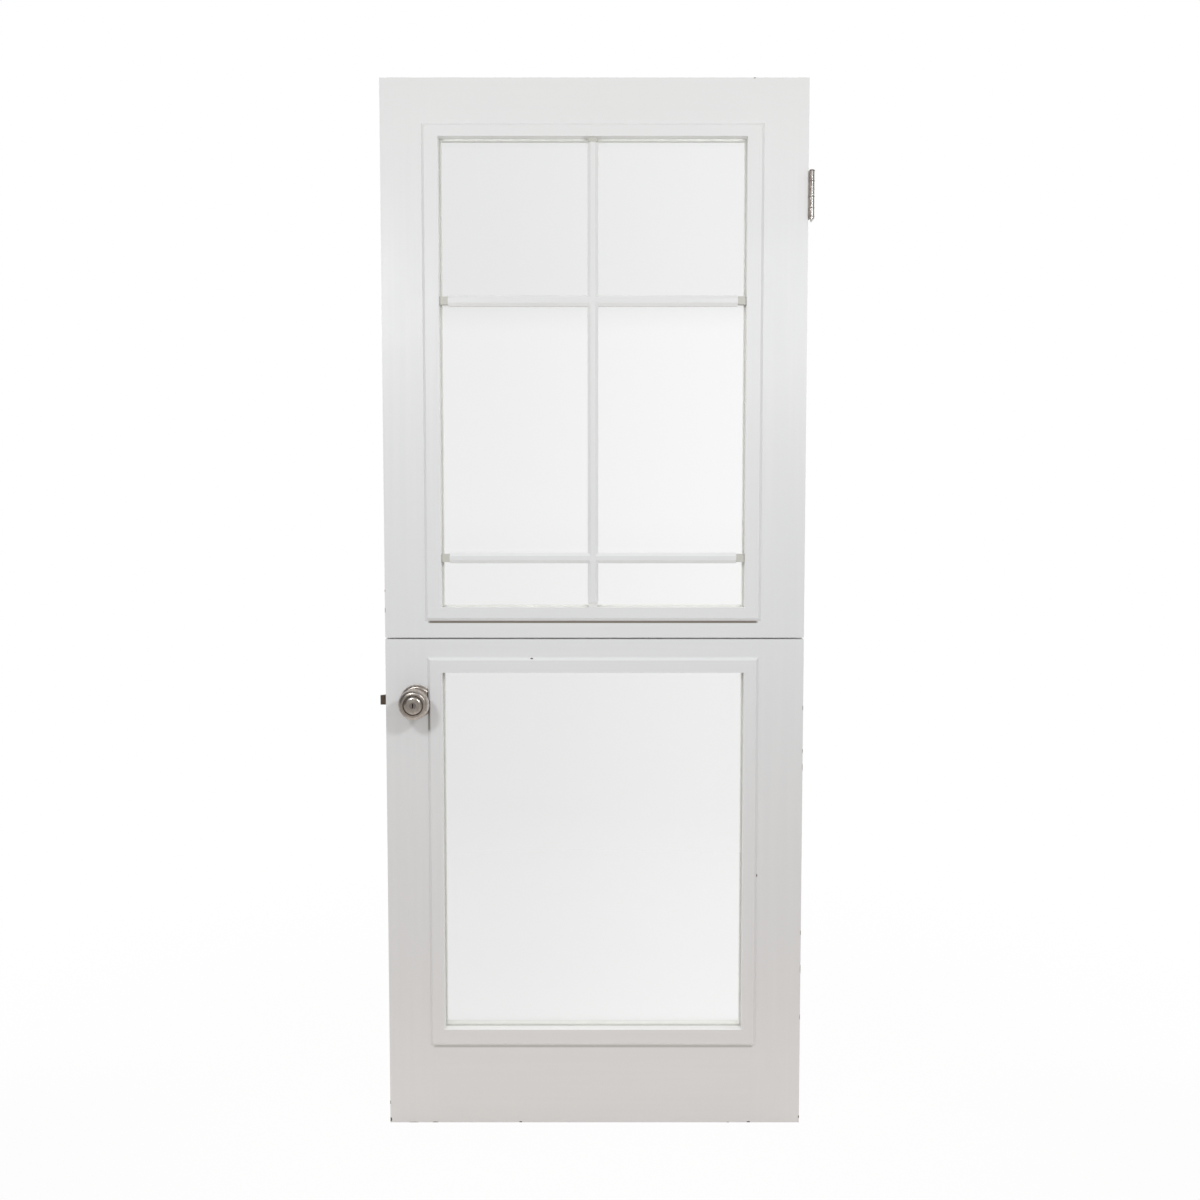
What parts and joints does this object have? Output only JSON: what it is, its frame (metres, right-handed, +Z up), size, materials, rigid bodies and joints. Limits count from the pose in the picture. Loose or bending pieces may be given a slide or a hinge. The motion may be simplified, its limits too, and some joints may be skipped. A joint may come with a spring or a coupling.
{
  "type": "dutch stable door",
  "caption": "White panelled door split into two hinged leaves: a glazed upper leaf with a muntin grille, and a glazed lower leaf with a keyed knob, latch and joining bolt.",
  "frame": {"origin": "middle of the door's width and thickness, at its bottom edge", "axes": "+Z up the door, -Y out of the pictured face with the keyed knob, +X towards the hinge edge"},
  "size_m": [0.8368, 0.1829, 2.032],
  "materials": {
    "clip_plastic": "aged beige",
    "dark_bronze": "dark worn bronze plate",
    "dowel_wood": "bare birch",
    "glass": "clear float glass",
    "key_brass": "plain",
    "painted_steel": "satin white paint",
    "painted_wood": "satin white paint, worn",
    "satin_nickel": "satin nickel plate",
    "screw_steel": "zinc plated",
    "spacer_aluminium": "mill finish",
    "worn_steel": "worn, with brown grime"
  },
  "bodies": {
    "jamb_side": {"hinge_jamb_plate": "worn_steel", "hinge_pin": "worn_steel"},
    "upper_leaf": {"upper_back_moulding_bottom": "painted_wood", "upper_back_moulding_left": "painted_wood", "upper_back_moulding_right": "painted_wood", "upper_back_moulding_top": "painted_wood", "upper_back_pane": "glass", "upper_dowels": "dowel_wood", "upper_front_moulding_bottom": "painted_wood", "upper_front_moulding_left": "painted_wood", "upper_front_moulding_right": "painted_wood", "upper_front_moulding_top": "painted_wood", "upper_front_pane": "glass", "upper_hinge_stile": "painted_wood", "upper_latch_stile": "painted_wood", "upper_meeting_rail": "painted_wood", "upper_moulding_screws": "screw_steel", "upper_spacer": "spacer_aluminium", "upper_top_rail": "painted_wood", "muntin_upright": "painted_wood", "muntin_upper_cross": "painted_wood", "muntin_lower_cross": "painted_wood", "muntin_clips": "clip_plastic", "hinge_door_plate": "worn_steel", "hinge_door_screws": "screw_steel", "joining_bolt_case": "painted_steel", "joining_bolt_screws": "screw_steel"},
    "lower_leaf": {"lower_back_moulding_bottom": "painted_wood", "lower_back_moulding_left": "painted_wood", "lower_back_moulding_right": "painted_wood", "lower_back_moulding_top": "painted_wood", "lower_back_pane": "glass", "lower_bottom_rail": "painted_wood", "lower_dowels": "dowel_wood", "lower_front_moulding_bottom": "painted_wood", "lower_front_moulding_left": "painted_wood", "lower_front_moulding_right": "painted_wood", "lower_front_moulding_top": "painted_wood", "lower_front_pane": "glass", "lower_hinge_stile": "painted_wood", "lower_latch_stile": "painted_wood", "lower_meeting_rail": "painted_wood", "lower_moulding_screws": "screw_steel", "lower_spacer": "spacer_aluminium", "latch_case": "satin_nickel", "faceplate_screws": "screw_steel", "outside_rose": "satin_nickel", "inside_rose": "satin_nickel", "rose_screws": "screw_steel", "joining_bolt_keeper": "painted_steel", "keeper_screws": "screw_steel"},
    "knob_set": {"outside_knob": "satin_nickel", "inside_knob": "satin_nickel", "spindle": "screw_steel"},
    "latch_bolt": {"latch_bolt": "dark_bronze"},
    "key_plug": {"key_plug": "key_brass"},
    "turn_button": {"turn_button": "satin_nickel"},
    "joining_bolt": {"joining_bolt_rod": "painted_steel"}
  },
  "joints": [
    {"name": "upper_swing", "type": "hinge", "parent": "jamb_side", "child": "upper_leaf", "pos_m": [0.4119, -0.02825, 1.8138], "axis": [0, 0, 1], "range_deg": [0, 110]},
    {"name": "lower_swing", "type": "hinge", "parent": "jamb_side", "child": "lower_leaf", "pos_m": [0.4119, -0.02825, 0.48], "axis": [0, 0, 1], "range_deg": [0, 110]},
    {"name": "knob_turn", "type": "hinge", "parent": "lower_leaf", "child": "knob_set", "pos_m": [-0.3462, 0, 0.8454], "axis": [0, 1, 0], "range_deg": [0, 60], "stiffness_Nm_per_rad": 0.2},
    {"name": "latch_slide", "type": "slide", "parent": "lower_leaf", "child": "latch_bolt", "axis": [1, 0, 0], "range_m": [0, 0.012]},
    {"name": "key_turn", "type": "hinge", "parent": "knob_set", "child": "key_plug", "pos_m": [-0.3462, -0.08, 0.8454], "axis": [0, 1, 0], "range_deg": [0, 90]},
    {"name": "button_turn", "type": "hinge", "parent": "knob_set", "child": "turn_button", "pos_m": [-0.3462, 0.08, 0.8454], "axis": [0, 1, 0], "range_deg": [0, 90]},
    {"name": "joining_bolt_slide", "type": "slide", "parent": "upper_leaf", "child": "joining_bolt", "axis": [0, 0, -1], "range_m": [0, 0.028]}
  ],
  "couplings": [
    {"joint": "latch_slide", "follows": "knob_turn", "m_per_rad": 0.01145}
  ]
}
